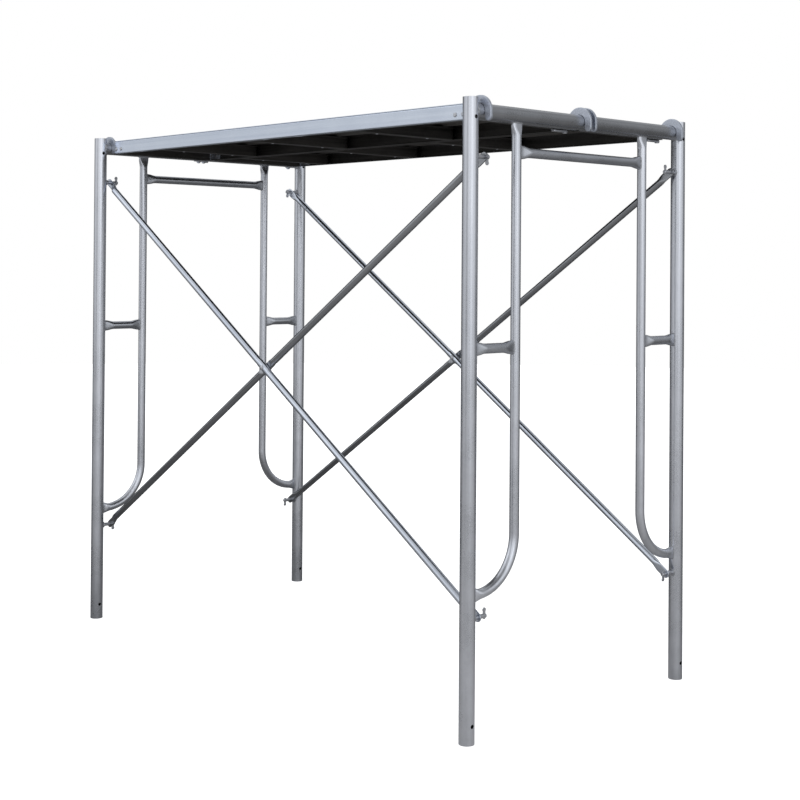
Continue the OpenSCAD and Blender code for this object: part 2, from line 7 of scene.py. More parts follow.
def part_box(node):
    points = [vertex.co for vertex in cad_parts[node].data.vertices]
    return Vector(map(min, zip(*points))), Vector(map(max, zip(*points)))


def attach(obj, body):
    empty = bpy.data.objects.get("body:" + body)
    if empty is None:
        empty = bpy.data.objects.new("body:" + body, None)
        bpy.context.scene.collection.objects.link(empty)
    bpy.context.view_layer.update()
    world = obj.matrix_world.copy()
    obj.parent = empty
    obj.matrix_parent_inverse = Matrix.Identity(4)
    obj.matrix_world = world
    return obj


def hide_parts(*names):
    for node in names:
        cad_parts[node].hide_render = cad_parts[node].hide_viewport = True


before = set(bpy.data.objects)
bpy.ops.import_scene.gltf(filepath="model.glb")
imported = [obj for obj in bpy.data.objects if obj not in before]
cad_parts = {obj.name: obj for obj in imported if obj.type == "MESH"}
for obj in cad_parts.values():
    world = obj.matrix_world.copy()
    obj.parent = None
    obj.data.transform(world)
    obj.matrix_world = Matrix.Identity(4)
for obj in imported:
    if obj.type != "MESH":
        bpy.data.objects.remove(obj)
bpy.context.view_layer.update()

# ---- Camera
# It stands off the right front corner at chest height and looks almost level across the bay,
# with the lens shifted down so that the legs stay upright.
camera_data = bpy.data.cameras.new("camera")
camera_data.lens = 64.9
camera_data.sensor_width = 36.0
camera_data.shift_y = -0.1823
camera_data.clip_end = 80.0
camera = bpy.data.objects.new("camera", camera_data)
bpy.context.scene.collection.objects.link(camera)
camera.matrix_world = (
    Matrix.Translation((3.557, -3.187, 1.249))
    @ Matrix.Rotation(math.radians(46.835), 4, "Z")
    @ Matrix.Rotation(math.radians(90.53), 4, "X")
    @ Matrix.Rotation(math.radians(0.413), 4, "Z"))
bpy.context.scene.camera = camera

# ---- Studio
# To the camera, a pale floor in front of a white background. To the steel, a dim room with soft
# glows round it at several heights, and one soft box overhead, so that round tubes keep dark edges.
bpy.context.scene.view_settings.view_transform = "Standard"
studio = bpy.data.worlds.new("studio")
bpy.context.scene.world = studio
studio.use_nodes = True
sky = studio.node_tree
sky.nodes.clear()
sky_out = sky.nodes.new("ShaderNodeOutputWorld")
sky_mix = sky.nodes.new("ShaderNodeMixShader")
sky_path = sky.nodes.new("ShaderNodeLightPath")
sky_seen = sky.nodes.new("ShaderNodeBackground")
sky_seen.inputs["Color"].default_value = (1.0, 1.0, 1.0, 1.0)
sky_room = sky.nodes.new("ShaderNodeBackground")
sky_room.inputs["Color"].default_value = (0.95, 0.975, 1.0, 1.0)
sky_toward = sky.nodes.new("ShaderNodeTexCoord").outputs["Generated"]
room_light = sky.nodes.new("ShaderNodeValue").outputs["Value"]
room_light.default_value = 0.02
# Each glow is the compass angle and the height of its middle, and its strength.
glow_reach = math.radians(46)
for compass, height, strength in (
        (-42, 12, 0.90), (3, 12, 0.84), (48, 12, 0.26), (183, 12, 0.05), (228, 12, 0.62),
        (273, 12, 0.38), (228, 52, 0.66), (138, 55, 0.40), (93, 38, 0.30)):
    turn, rise = math.radians(compass), math.radians(height)
    aim = Vector((math.cos(turn) * math.cos(rise), math.sin(turn) * math.cos(rise), math.sin(rise)))
    near = sky.nodes.new("ShaderNodeVectorMath")
    near.operation = "DOT_PRODUCT"
    near.inputs[1].default_value = aim
    sky.links.new(sky_toward, near.inputs[0])
    glow = sky.nodes.new("ShaderNodeMapRange")
    glow.interpolation_type = "SMOOTHSTEP"
    glow.inputs["From Min"].default_value = math.cos(glow_reach)
    glow.inputs["To Max"].default_value = strength
    sky.links.new(near.outputs["Value"], glow.inputs["Value"])
    total = sky.nodes.new("ShaderNodeMath")
    sky.links.new(room_light, total.inputs[0])
    sky.links.new(glow.outputs["Result"], total.inputs[1])
    room_light = total.outputs["Value"]
sky.links.new(room_light, sky_room.inputs["Strength"])
sky.links.new(sky_path.outputs["Is Camera Ray"], sky_mix.inputs["Fac"])
sky.links.new(sky_room.outputs["Background"], sky_mix.inputs[1])
sky.links.new(sky_seen.outputs["Background"], sky_mix.inputs[2])
sky.links.new(sky_mix.outputs["Shader"], sky_out.inputs["Surface"])


def soft_box(name, place, aim, width, height, power):
    light = bpy.data.lights.new(name, "AREA")
    light.shape = "RECTANGLE"
    light.size = width
    light.size_y = height
    light.energy = power
    holder = bpy.data.objects.new(name, light)
    bpy.context.scene.collection.objects.link(holder)
    turn = (Vector(aim) - Vector(place)).to_track_quat("-Z", "Y")
    holder.matrix_world = Matrix.Translation(place) @ turn.to_matrix().to_4x4()


soft_box("overhead_box", place=(0.6, -0.8, 4.4), aim=(0.0, 0.0, 0.0), width=4.5, height=4.0, power=12.0)

floor_bm = bmesh.new()
bmesh.ops.create_circle(floor_bm, cap_ends=True, segments=96, radius=14.0,
                        matrix=Matrix.Translation((0.0, 0.0, -0.0004)))
floor_mesh = bpy.data.meshes.new("floor")
floor_bm.to_mesh(floor_mesh)
floor_bm.free()
floor = bpy.data.objects.new("floor", floor_mesh)
bpy.context.scene.collection.objects.link(floor)

# The floor is pale to the camera only. Seen by the steel it is dim, with a brighter pool in front,
# so that the underside of the deck stays dark.
floor_paint = bpy.data.materials.new("floor_paint")
floor_paint.use_nodes = True
floor_tree = floor_paint.node_tree
floor_tree.nodes.clear()
floor_out = floor_tree.nodes.new("ShaderNodeOutputMaterial")
floor_mix = floor_tree.nodes.new("ShaderNodeMixShader")
floor_path = floor_tree.nodes.new("ShaderNodeLightPath")
floor_seen = floor_tree.nodes.new("ShaderNodeBsdfDiffuse")
floor_seen.inputs["Color"].default_value = (0.90, 0.90, 0.90, 1.0)
floor_lift = floor_tree.nodes.new("ShaderNodeEmission")
floor_lift.inputs["Strength"].default_value = 0.86
floor_sum = floor_tree.nodes.new("ShaderNodeAddShader")
floor_dim = floor_tree.nodes.new("ShaderNodeBsdfDiffuse")
floor_dim.inputs["Color"].default_value = (0.10, 0.10, 0.10, 1.0)
floor_back = floor_tree.nodes.new("ShaderNodeEmission")
floor_toward = floor_tree.nodes.new("ShaderNodeVectorMath")
floor_toward.operation = "DOT_PRODUCT"
floor_toward.inputs[1].default_value = (0.73, -0.68, 0.0)
floor_pool = floor_tree.nodes.new("ShaderNodeMapRange")
floor_pool.interpolation_type = "SMOOTHSTEP"
for name, number in (("From Min", -0.6), ("From Max", 1.4), ("To Min", 0.08), ("To Max", 0.34)):
    floor_pool.inputs[name].default_value = number
floor_tree.links.new(floor_tree.nodes.new("ShaderNodeTexCoord").outputs["Object"], floor_toward.inputs[0])
floor_tree.links.new(floor_toward.outputs["Value"], floor_pool.inputs["Value"])
floor_tree.links.new(floor_pool.outputs["Result"], floor_back.inputs["Strength"])
floor_steel = floor_tree.nodes.new("ShaderNodeAddShader")
floor_tree.links.new(floor_seen.outputs["BSDF"], floor_sum.inputs[0])
floor_tree.links.new(floor_lift.outputs["Emission"], floor_sum.inputs[1])
floor_tree.links.new(floor_dim.outputs["BSDF"], floor_steel.inputs[0])
floor_tree.links.new(floor_back.outputs["Emission"], floor_steel.inputs[1])
floor_tree.links.new(floor_path.outputs["Is Camera Ray"], floor_mix.inputs["Fac"])
floor_tree.links.new(floor_steel.outputs["Shader"], floor_mix.inputs[1])
floor_tree.links.new(floor_sum.outputs["Shader"], floor_mix.inputs[2])
floor_tree.links.new(floor_mix.outputs["Shader"], floor_out.inputs["Surface"])
floor_mesh.materials.append(floor_paint)

# ---- Zinc coat
# All the steel is hot-dip galvanised, which leaves faint crystals, cloudy patches and runs along
# the length of each tube. Every finish below mixes the same coat with its own colours and sizes, and some of
# them are darker copies that carry painted shade.
zinc_coat = bpy.data.node_groups.new("zinc_coat", "ShaderNodeTree")
for socket_name, socket_kind, way in (
        ("Position", "NodeSocketVector", "INPUT"), ("Along", "NodeSocketVector", "INPUT"),
        ("Dull", "NodeSocketColor", "INPUT"), ("Bright", "NodeSocketColor", "INPUT"),
        ("Crystals", "NodeSocketFloat", "INPUT"), ("Smoothest", "NodeSocketFloat", "INPUT"),
        ("Roughest", "NodeSocketFloat", "INPUT"),
        ("Color", "NodeSocketColor", "OUTPUT"), ("Roughness", "NodeSocketFloat", "OUTPUT"),
        ("Height", "NodeSocketFloat", "OUTPUT")):
    zinc_coat.interface.new_socket(socket_name, in_out=way, socket_type=socket_kind)


def noise(tree, vector, scale, detail):
    node = tree.nodes.new("ShaderNodeTexNoise")
    node.inputs["Scale"].default_value = scale
    node.inputs["Detail"].default_value = detail
    tree.links.new(vector, node.inputs["Vector"])
    return node.outputs["Fac"]


def ranged(tree, value, low, high, new_low, new_high):
    node = tree.nodes.new("ShaderNodeMapRange")
    for name, number in (("From Min", low), ("From Max", high), ("To Min", new_low), ("To Max", new_high)):
        if isinstance(number, (int, float)):
            node.inputs[name].default_value = number
        else:
            tree.links.new(number, node.inputs[name])
    tree.links.new(value, node.inputs["Value"])
    return node.outputs["Result"]


def worked(tree, operation, first, second):
    node = tree.nodes.new("ShaderNodeMath")
    node.operation = operation
    for place, number in enumerate((first, second)):
        if isinstance(number, (int, float)):
            node.inputs[place].default_value = number
        else:
            tree.links.new(number, node.inputs[place])
    return node.outputs["Value"]


def blended(tree, factor, first, second):
    node = tree.nodes.new("ShaderNodeMix")
    node.data_type = "RGBA"
    for name, value in (("Factor_Float", factor), ("A_Color", first), ("B_Color", second)):
        socket = next(s for s in node.inputs if s.identifier == name)
        if isinstance(value, (int, float, tuple)):
            socket.default_value = value
        else:
            tree.links.new(value, socket)
    return next(s for s in node.outputs if s.identifier == "Result_Color")


def weighed(tree, *parts):
    # The sum of each value times its weight.
    total = None
    for value, weight in parts:
        share = worked(tree, "MULTIPLY", value, weight)
        total = share if total is None else worked(tree, "ADD", total, share)
    return total


coat_in = zinc_coat.nodes.new("NodeGroupInput")
coat_out = zinc_coat.nodes.new("NodeGroupOutput")
coat_crystal = zinc_coat.nodes.new("ShaderNodeTexVoronoi")
zinc_coat.links.new(coat_in.outputs["Position"], coat_crystal.inputs["Vector"])
zinc_coat.links.new(coat_in.outputs["Crystals"], coat_crystal.inputs["Scale"])
coat_crystal_split = zinc_coat.nodes.new("ShaderNodeSeparateColor")
zinc_coat.links.new(coat_crystal.outputs["Color"], coat_crystal_split.inputs["Color"])
coat_spangle = coat_crystal_split.outputs["Red"]
coat_cloud = noise(zinc_coat, coat_in.outputs["Position"], 9.0, 4.0)
coat_cloud = ranged(zinc_coat, coat_cloud, 0.3, 0.7, 0.0, 1.0)
coat_run = noise(zinc_coat, coat_in.outputs["Along"], 1.0, 3.0)
coat_run = ranged(zinc_coat, coat_run, 0.3, 0.7, 0.0, 1.0)
coat_grain = noise(zinc_coat, coat_in.outputs["Position"], 500.0, 1.0)
coat_tone = weighed(zinc_coat, (coat_cloud, 0.34), (coat_run, 0.56), (coat_spangle, 0.10))
coat_color = blended(zinc_coat, coat_tone, coat_in.outputs["Dull"], coat_in.outputs["Bright"])
coat_rough = weighed(zinc_coat, (coat_cloud, 0.78), (coat_spangle, 0.22))
coat_rough = ranged(zinc_coat, coat_rough, 0.0, 1.0, coat_in.outputs["Smoothest"], coat_in.outputs["Roughest"])
coat_height = weighed(zinc_coat, (coat_grain, 0.5), (coat_run, 0.5))
zinc_coat.links.new(coat_color, coat_out.inputs["Color"])
zinc_coat.links.new(coat_rough, coat_out.inputs["Roughness"])
zinc_coat.links.new(coat_height, coat_out.inputs["Height"])


def zinc(name, dull, bright, stretch, crystals=160.0, smoothest=0.23, roughest=0.35, relief=0.000010,
         metallic=1.0, turn=0.0):
    # Stretch is how fine the runs are along each axis, and turn slants them about Y.
    material = bpy.data.materials.new(name)
    material.use_nodes = True
    tree = material.node_tree
    skin = tree.nodes["Principled BSDF"]
    skin.inputs["Metallic"].default_value = metallic
    place = tree.nodes.new("ShaderNodeTexCoord").outputs["Object"]
    drawn = tree.nodes.new("ShaderNodeMapping")
    drawn.vector_type = "TEXTURE"
    drawn.inputs["Rotation"].default_value = (0.0, turn, 0.0)
    drawn.inputs["Scale"].default_value = tuple(1.0 / s for s in stretch)
    tree.links.new(place, drawn.inputs["Vector"])
    coat = tree.nodes.new("ShaderNodeGroup")
    coat.node_tree = zinc_coat
    tree.links.new(place, coat.inputs["Position"])
    tree.links.new(drawn.outputs["Vector"], coat.inputs["Along"])
    coat.inputs["Dull"].default_value = (*dull, 1.0)
    coat.inputs["Bright"].default_value = (*bright, 1.0)
    coat.inputs["Crystals"].default_value = crystals
    coat.inputs["Smoothest"].default_value = smoothest
    coat.inputs["Roughest"].default_value = roughest
    bump = tree.nodes.new("ShaderNodeBump")
    bump.inputs["Distance"].default_value = relief
    tree.links.new(coat.outputs["Height"], bump.inputs["Height"])
    tree.links.new(bump.outputs["Normal"], skin.inputs["Normal"])
    tree.links.new(coat.outputs["Color"], skin.inputs["Base Color"])
    tree.links.new(coat.outputs["Roughness"], skin.inputs["Roughness"])
    return material


# ---- Legs
# Four lengths of steel tube, sawn square and deburred at both ends. A coupling pin goes through
# each pair of cross holes, one near the top and one near the foot.
main_radius = 0.02135
bore_margin = 0.0009
leg_x, leg_y = 0.9145, 0.457
crease_angle = math.radians(35)
leg_zinc = zinc("leg_zinc", (0.56, 0.575, 0.62), (0.80, 0.815, 0.87), (52.0, 52.0, 2.0))
# The inside of each leg tube gets a near-black zinc, as painted shade.
bore_shade_zinc = zinc("bore_shade_zinc", (0.020, 0.020, 0.022), (0.060, 0.060, 0.064), (170.0, 170.0, 5.0),
                 smoothest=0.60, roughest=0.80, metallic=0.6)


def copy_of(node):
    bm = bmesh.new()
    bm.from_mesh(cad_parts[node].data)
    bmesh.ops.remove_doubles(bm, verts=bm.verts, dist=1e-6)
    bmesh.ops.dissolve_limit(bm, angle_limit=math.radians(0.5), verts=bm.verts, edges=bm.edges)
    return bm


def soften(bm, width, segments=2, chosen=lambda edge: True):
    sharp = [e for e in bm.edges if e.is_manifold and e.calc_face_angle() > crease_angle and chosen(e)]
    bmesh.ops.bevel(bm, geom=sharp, offset=width, offset_type="OFFSET", affect="EDGES",
                    segments=segments, profile=0.5, material=-1, clamp_overlap=False)
    return bm


def piece(name, bm, materials, body, slot, *nodes, sharp=40.0, even=False):
    mesh = bpy.data.meshes.new(name)
    bm.to_mesh(mesh)
    bm.free()
    mesh.shade_smooth()
    mesh.set_sharp_from_angle(angle=math.radians(sharp))
    for material in materials:
        mesh.materials.append(material)
    made = bpy.data.objects.new(name, mesh)
    bpy.context.scene.collection.objects.link(made)
    if even:
        made.modifiers.new("even_shading", "WEIGHTED_NORMAL").keep_sharp = True
    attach(made, body)
    if nodes:
        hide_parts(*nodes)
    return made


for end, sign in (("right", 1), ("left", -1)):
    for side, outward in (("front", -1), ("back", 1)):
        leg = soften(copy_of(f"{end}_{side}_leg"), 0.0005)
        # Faces inside the bore take the second, near-black material: painted shade.
        for face in leg.faces:
            centre = face.calc_center_median()
            if math.hypot(centre.x - sign * leg_x, centre.y - outward * leg_y) < main_radius - bore_margin:
                face.material_index = 1
        piece(f"{end}_{side}_leg_tube", leg, [leg_zinc, bore_shade_zinc], "end_frames", "frame_tube",
              f"{end}_{side}_leg", even=True)

# ---- Headers
# One tube of the same size across the top of each end frame, its ends coped round the legs and
# welded there all the way round.
# The headers are the same steel as the legs, given darker colours as painted shade from the deck above them.
header_shade_zinc = zinc("header_shade_zinc", (0.33, 0.335, 0.35), (0.50, 0.51, 0.54), (52.0, 2.0, 52.0))
weld_zinc = zinc("weld_zinc", (0.36, 0.365, 0.38), (0.60, 0.61, 0.64), (420.0, 420.0, 420.0),
                 crystals=420.0, smoothest=0.38, roughest=0.58, relief=0.0006)
header_z = 1.665
header_end = 0.448
header_bead, tube_bead, collar_bead = 0.0024, 0.0020, 0.0016
weld_sink = 0.0004


def oval(angle, power):
    c, s = math.cos(angle), math.sin(angle)
    return (math.copysign(abs(c) ** (2 / power), c), math.copysign(abs(s) ** (2 / power), s))


def skin_through(sections, around=48):
    # Each section is a centre, its two directions, its half sizes along them and its squareness.
    bm = bmesh.new()
    steps = len(sections) - 1
    bmesh.ops.create_grid(bm, x_segments=steps, y_segments=around, size=0.5)
    station = bm.verts.layers.int.new("station")
    for v in bm.verts:
        v[station] = round((v.co.x + 0.5) * steps)
        centre, wide, thin, half_wide, half_thin, power = sections[v[station]]
        c, s = oval((v.co.y + 0.5) * 2 * math.pi, power)
        v.co = centre + wide * (half_wide * c) + thin * (half_thin * s)
    bmesh.ops.remove_doubles(bm, verts=bm.verts, dist=1e-6)
    return bm, station


def closed(bm):
    bmesh.ops.holes_fill(bm, edges=[e for e in bm.edges if e.is_boundary], sides=0)
    bmesh.ops.recalc_face_normals(bm, faces=bm.faces)
    return bm


def add_mesh(bm, other):
    spare = bpy.data.meshes.new("part")
    other.to_mesh(spare)
    other.free()
    bm.from_mesh(spare)
    bpy.data.meshes.remove(spare)


def add_weld(bm, rim, away, size):
    # A bead laid round a closed rim of (point, outward) pairs, with the ripples of each dab.
    bead = bmesh.new()
    count, turns = len(rim), 10
    bmesh.ops.create_grid(bead, x_segments=count, y_segments=turns, size=0.5)
    for v in bead.verts:
        i = round((v.co.x + 0.5) * count) % count
        angle = (v.co.y + 0.5) * 2 * math.pi
        point, outward = rim[i]
        way_round = i * 2 * math.pi / count
        swell = size * (1.0 + 0.16 * math.sin(13 * way_round) + 0.07 * math.sin(5 * way_round))
        v.co = point + outward * (swell * math.cos(angle)) + away * (swell * math.sin(angle))
    bmesh.ops.remove_doubles(bead, verts=bead.verts, dist=1e-6)
    bmesh.ops.recalc_face_normals(bead, faces=bead.faces)
    for face in bead.faces:
        face.material_index = 1
    add_mesh(bm, bead)


def saddle(radius, offset):
    # How far a round tube's face stands out from its axis, at an offset to one side.
    return math.sqrt(max(radius ** 2 - offset ** 2, 0.0))


for end, sign in (("right", 1), ("left", -1)):
    axis_x = sign * leg_x
    stations = [-leg_y, -0.430, -0.25, 0.0, 0.25, 0.430, leg_y]
    header, station = skin_through([(Vector((axis_x, y, header_z)), Vector((1, 0, 0)), Vector((0, 0, 1)),
                                     main_radius, main_radius, 2.0) for y in stations], around=64)
    for v in header.verts:
        if v[station] in (0, len(stations) - 1):
            reach = min(leg_y - saddle(main_radius, v.co.x - axis_x) + weld_sink, header_end)
            v.co.y = math.copysign(reach, v.co.y)
    closed(header)
    for side in (-1, 1):
        rim = []
        for i in range(96):
            angle = 2 * math.pi * i / 96
            dx, dz = main_radius * math.cos(angle), main_radius * math.sin(angle)
            reach = min(leg_y - saddle(main_radius, dx), header_end)
            rim.append((Vector((axis_x + dx, side * reach, header_z + dz)), Vector((dx, 0.0, dz)).normalized()))
        add_weld(header, rim, Vector((0, -side, 0)), header_bead)
    piece(f"{end}_header_tube", header, [header_shade_zinc, weld_zinc], "end_frames", "frame_tube", f"{end}_header")

# ---- Hoops, inner rails and rungs
# Smaller tube. Each end is pressed to a flat fan that spreads along the tube it meets, coped to
# it and welded. A hoop runs down from the header and turns out to the leg in one bend.
rail_zinc = zinc("rail_zinc", (0.44, 0.455, 0.49), (0.66, 0.68, 0.73), (60.0, 2.0, 60.0))
small_radius = 0.0136
fan_spread, fan_half_thick = 0.0186, 0.0070
fan_length, foot_fan_length = 0.038, 0.022
fan_squareness, round_squareness = 3.6, 2.0
fan_steps = 8
hoop_y, hoop_middle_z, bend_z, bend_radius, foot_z = 0.277, 1.1, 0.531, 0.145, 0.386
rail_z, rung_z = 1.565, 1.035
up = Vector((0, 0, 1))


def eased(t):
    t = min(max(t, 0.0), 1.0)
    return t * t * (3 - 2 * t)


def fan(past, length):
    # Half sizes and squareness of a pressed end, at a distance past the face of the tube it meets.
    t = eased((past - 0.003) / (length - 0.003))
    return (fan_spread + (small_radius - fan_spread) * t,
            fan_half_thick + (small_radius - fan_half_thick) * eased((past - 0.001) / (length - 0.001)),
            fan_squareness + (round_squareness - fan_squareness) * t)


def fan_rim(joint, away, wide, thin, radius):
    rim = []
    for i in range(64):
        c, s = oval(2 * math.pi * i / 64, fan_squareness)
        across, over = fan_spread * c, fan_half_thick * s
        point = joint + away * saddle(radius, over) + wide * across + thin * over
        rim.append((point, (wide * across / fan_spread ** 2 + thin * over / fan_half_thick ** 2).normalized()))
    return rim


def seat_ends(bm, station, ends):
    # Draws the rim of each end in to the round tube that it is welded to.
    for v in bm.verts:
        for number, joint, away, thin, radius in ends:
            if v[station] == number:
                past = (v.co - joint).dot(away)
                v.co += away * (saddle(radius, (v.co - joint).dot(thin)) - weld_sink - past)


def straight_tube(start, end, wide, start_radius, end_radius):
    away = (end - start).normalized()
    span = (end - start).length
    thin = wide.cross(away).normalized()
    steps = [i * fan_length / fan_steps for i in range(fan_steps + 1)]
    marks = [(start_radius + s, s) for s in steps] + [(span / 2, fan_length)]
    marks += [(span - end_radius - s, s) for s in reversed(steps)]
    sections = []
    for distance, past in marks:
        half_wide, half_thin, power = fan(past, fan_length)
        sections.append((start + away * distance, wide, thin, half_wide, half_thin, power))
    bm, station = skin_through(sections)
    seat_ends(bm, station, ((0, start, away, thin, start_radius),
                            (len(sections) - 1, end, -away, thin, end_radius)))
    closed(bm)
    add_weld(bm, fan_rim(start, away, wide, thin, start_radius), away, tube_bead)
    add_weld(bm, fan_rim(end, -away, wide, thin, end_radius), -away, tube_bead)
    return bm


def hoop_tube(axis_x, turn):
    # Runs down from the header, round one bend, and out to the leg on the side that turn gives.
    across, thin = Vector((0, 1, 0)), Vector((1, 0, 0))
    sections = []
    for i in range(fan_steps + 1):
        past = i * fan_length / fan_steps
        sections.append((Vector((axis_x, turn * hoop_y, header_z - main_radius - past)), across, thin,
                         *fan(past, fan_length)))
    sections.append((Vector((axis_x, turn * hoop_y, hoop_middle_z)), across, thin,
                     small_radius, small_radius, round_squareness))
    bend_centre = Vector((axis_x, turn * (hoop_y + bend_radius), bend_z))
    foot_start = leg_y - main_radius
    for i in range(21):
        angle = math.radians(90) * i / 20
        inward = Vector((0, -turn * math.cos(angle), -math.sin(angle)))
        middle = bend_centre + inward * bend_radius
        sections.append((middle, -turn * inward, thin, *fan(foot_start - abs(middle.y), foot_fan_length)))
    for past in (0.009, 0.006, 0.003, 0.0):
        sections.append((Vector((axis_x, turn * (foot_start - past), foot_z)), turn * up, thin,
                         *fan(past, foot_fan_length)))
    bm, station = skin_through(sections, around=40)
    top_joint = Vector((axis_x, turn * hoop_y, header_z))
    foot_joint = Vector((axis_x, turn * leg_y, foot_z))
    inside = Vector((0, -turn, 0))
    seat_ends(bm, station, ((0, top_joint, -up, thin, main_radius),
                            (len(sections) - 1, foot_joint, inside, thin, main_radius)))
    closed(bm)
    add_weld(bm, fan_rim(top_joint, -up, across, thin, main_radius), -up, tube_bead)
    add_weld(bm, fan_rim(foot_joint, inside, up, thin, main_radius), inside, tube_bead)
    return bm


for end, sign in (("right", 1), ("left", -1)):
    axis_x = sign * leg_x
    rail = straight_tube(Vector((axis_x, -hoop_y, rail_z)), Vector((axis_x, hoop_y, rail_z)), up,
                         small_radius, small_radius)
    piece(f"{end}_inner_rail_tube", rail, [rail_zinc, weld_zinc], "end_frames", "frame_tube",
          f"{end}_inner_rail")
    for side, turn in (("front", -1), ("back", 1)):
        rung = straight_tube(Vector((axis_x, turn * leg_y, rung_z)), Vector((axis_x, turn * hoop_y, rung_z)),
                             up, main_radius, small_radius)
        piece(f"{end}_{side}_rung_tube", rung, [rail_zinc, weld_zinc], "end_frames", "frame_tube",
              f"{end}_{side}_rung")
        piece(f"{end}_{side}_hoop_tube", hoop_tube(axis_x, turn), [leg_zinc, weld_zinc], "end_frames",
              "frame_tube", f"{end}_{side}_hoop")

# ---- Cross braces
# Two thin tubes on each side, flattened and punched at their ends for the brace pins, and pressed
# flat where they cross, so that one domed rivet holds them side by side.
brace_angle = math.radians(33.68)
brace_radius, brace_half = 0.01085, 1.0990
paddle_half_width, paddle_half_thick, paddle_length, taper_length = 0.0130, 0.0020, 0.025, 0.032
pair_half, paddle_offset, pin_hole_radius = 0.0070, 0.0070, 0.0065
dent_face, dent_half, dent_run = 0.0067, 0.0225, 0.012
brace_y, brace_z = 0.419, 0.9355
brace_finishes_and_shade = {}
# The falling and rising braces are the same zinc with runs slanted their own way; the rising one is darker, as
# painted shade.
for name, turn, dull, bright in (("falling", 1, (0.48, 0.515, 0.59), (0.80, 0.84, 0.92)),
                                 ("rising_shaded", -1, (0.27, 0.275, 0.29), (0.44, 0.45, 0.475))):
    brace_finishes_and_shade[name] = zinc(f"{name}_brace_zinc", dull, bright, (2.0, 70.0, 70.0), crystals=1100.0,
                                smoothest=0.15, roughest=0.23, relief=0.000006, turn=turn * brace_angle)


def drilled(bm, radius, place, along):
    # Cuts a round hole through a mesh, and hands back the cut mesh in place of the one it frees.
    cutter = bmesh.new()
    turn = along.to_track_quat("Z", "Y").to_matrix().to_4x4()
    bmesh.ops.create_cone(cutter, cap_ends=True, segments=40, radius1=radius, radius2=radius, depth=0.1,
                          matrix=Matrix.Translation(place) @ turn)
    parts = []
    for name, part in (("body", bm), ("cutter", cutter)):
        mesh = bpy.data.meshes.new(name)
        part.to_mesh(mesh)
        part.free()
        holder = bpy.data.objects.new(name, mesh)
        bpy.context.scene.collection.objects.link(holder)
        parts.append(holder)
    punch = parts[0].modifiers.new("punch", "BOOLEAN")
    punch.operation = "DIFFERENCE"
    punch.solver = "EXACT"
    punch.object = parts[1]
    seen = parts[0].evaluated_get(bpy.context.evaluated_depsgraph_get())
    result = bmesh.new()
    result.from_mesh(seen.to_mesh())
    for holder in parts:
        mesh = holder.data
        bpy.data.objects.remove(holder)
        bpy.data.meshes.remove(mesh)
    return result


def brace_tube(facing):
    # Drawn along X. Its flat ends lie off its own axis, and its dent is on the facing side.
    sideways = Vector((0, 1, 0))
    rows = []
    for i in range(9):
        angle = math.radians(4 + 86 * i / 8)
        rows.append((-paddle_half_width * math.cos(angle), paddle_half_width * math.sin(angle), 0.0))
    rows += [(0.012, paddle_half_width, 0.0), (paddle_length, paddle_half_width, 0.0)]
    rows += [(paddle_length + taper_length * i / 10, None, i / 10) for i in range(1, 11)]
    sections = []
    for x, half, t in rows:
        ease = eased(t)
        half_wide = half or paddle_half_width + (brace_radius - paddle_half_width) * ease
        half_thin = paddle_half_thick + (brace_radius - paddle_half_thick) * ease
        sections.append((Vector((-brace_half + x, paddle_offset * (1 - ease), 0)), up, sideways,
                         half_wide, half_thin, 5.0 - 3.0 * ease ** 0.5))
    middle = [-0.040 + 0.004 * i for i in range(21)]
    tube = [(Vector((x, 0, 0)), up, sideways, brace_radius, brace_radius, round_squareness)
            for x in [-0.5] + middle + [0.5]]
    mirrored = [(Vector((-c.x, c.y, 0)), w, t, a, b, p) for c, w, t, a, b, p in reversed(sections)]
    bm, _ = skin_through(sections + tube + mirrored, around=40)
    for v in bm.verts:
        if abs(v.co.x) < dent_half + dent_run:
            press = 1 - eased((abs(v.co.x) - dent_half) / dent_run)
            limit = dent_face + (brace_radius - dent_face) * (1 - press)
            v.co.y = facing * min(facing * v.co.y, limit)
            v.co.z *= 1 + 0.14 * press
    closed(bm)
    for x in (-brace_half, brace_half):
        bm = drilled(bm, pin_hole_radius, Vector((x, paddle_offset, 0)), sideways)
    return bm


def turned(profile, steps=32):
    # A turned piece about Z from (radius, height) points, closed on its axis at both ends.
    bm = bmesh.new()
    points = [bm.verts.new((r, 0.0, z)) for r, z in profile]
    edges = [bm.edges.new(pair) for pair in zip(points, points[1:])]
    bmesh.ops.spin(bm, geom=points + edges, cent=(0, 0, 0), axis=(0, 0, 1), angle=2 * math.pi, steps=steps,
                   use_merge=True)
    bmesh.ops.remove_doubles(bm, verts=bm.verts, dist=1e-7)
    bmesh.ops.recalc_face_normals(bm, faces=bm.faces)
    return bm


def dome(base, radius, height):
    # The points of a domed head, from its rim to its top.
    return [(radius * math.cos(math.radians(a)), base + height * math.sin(math.radians(a)))
            for a in range(0, 91, 15)]


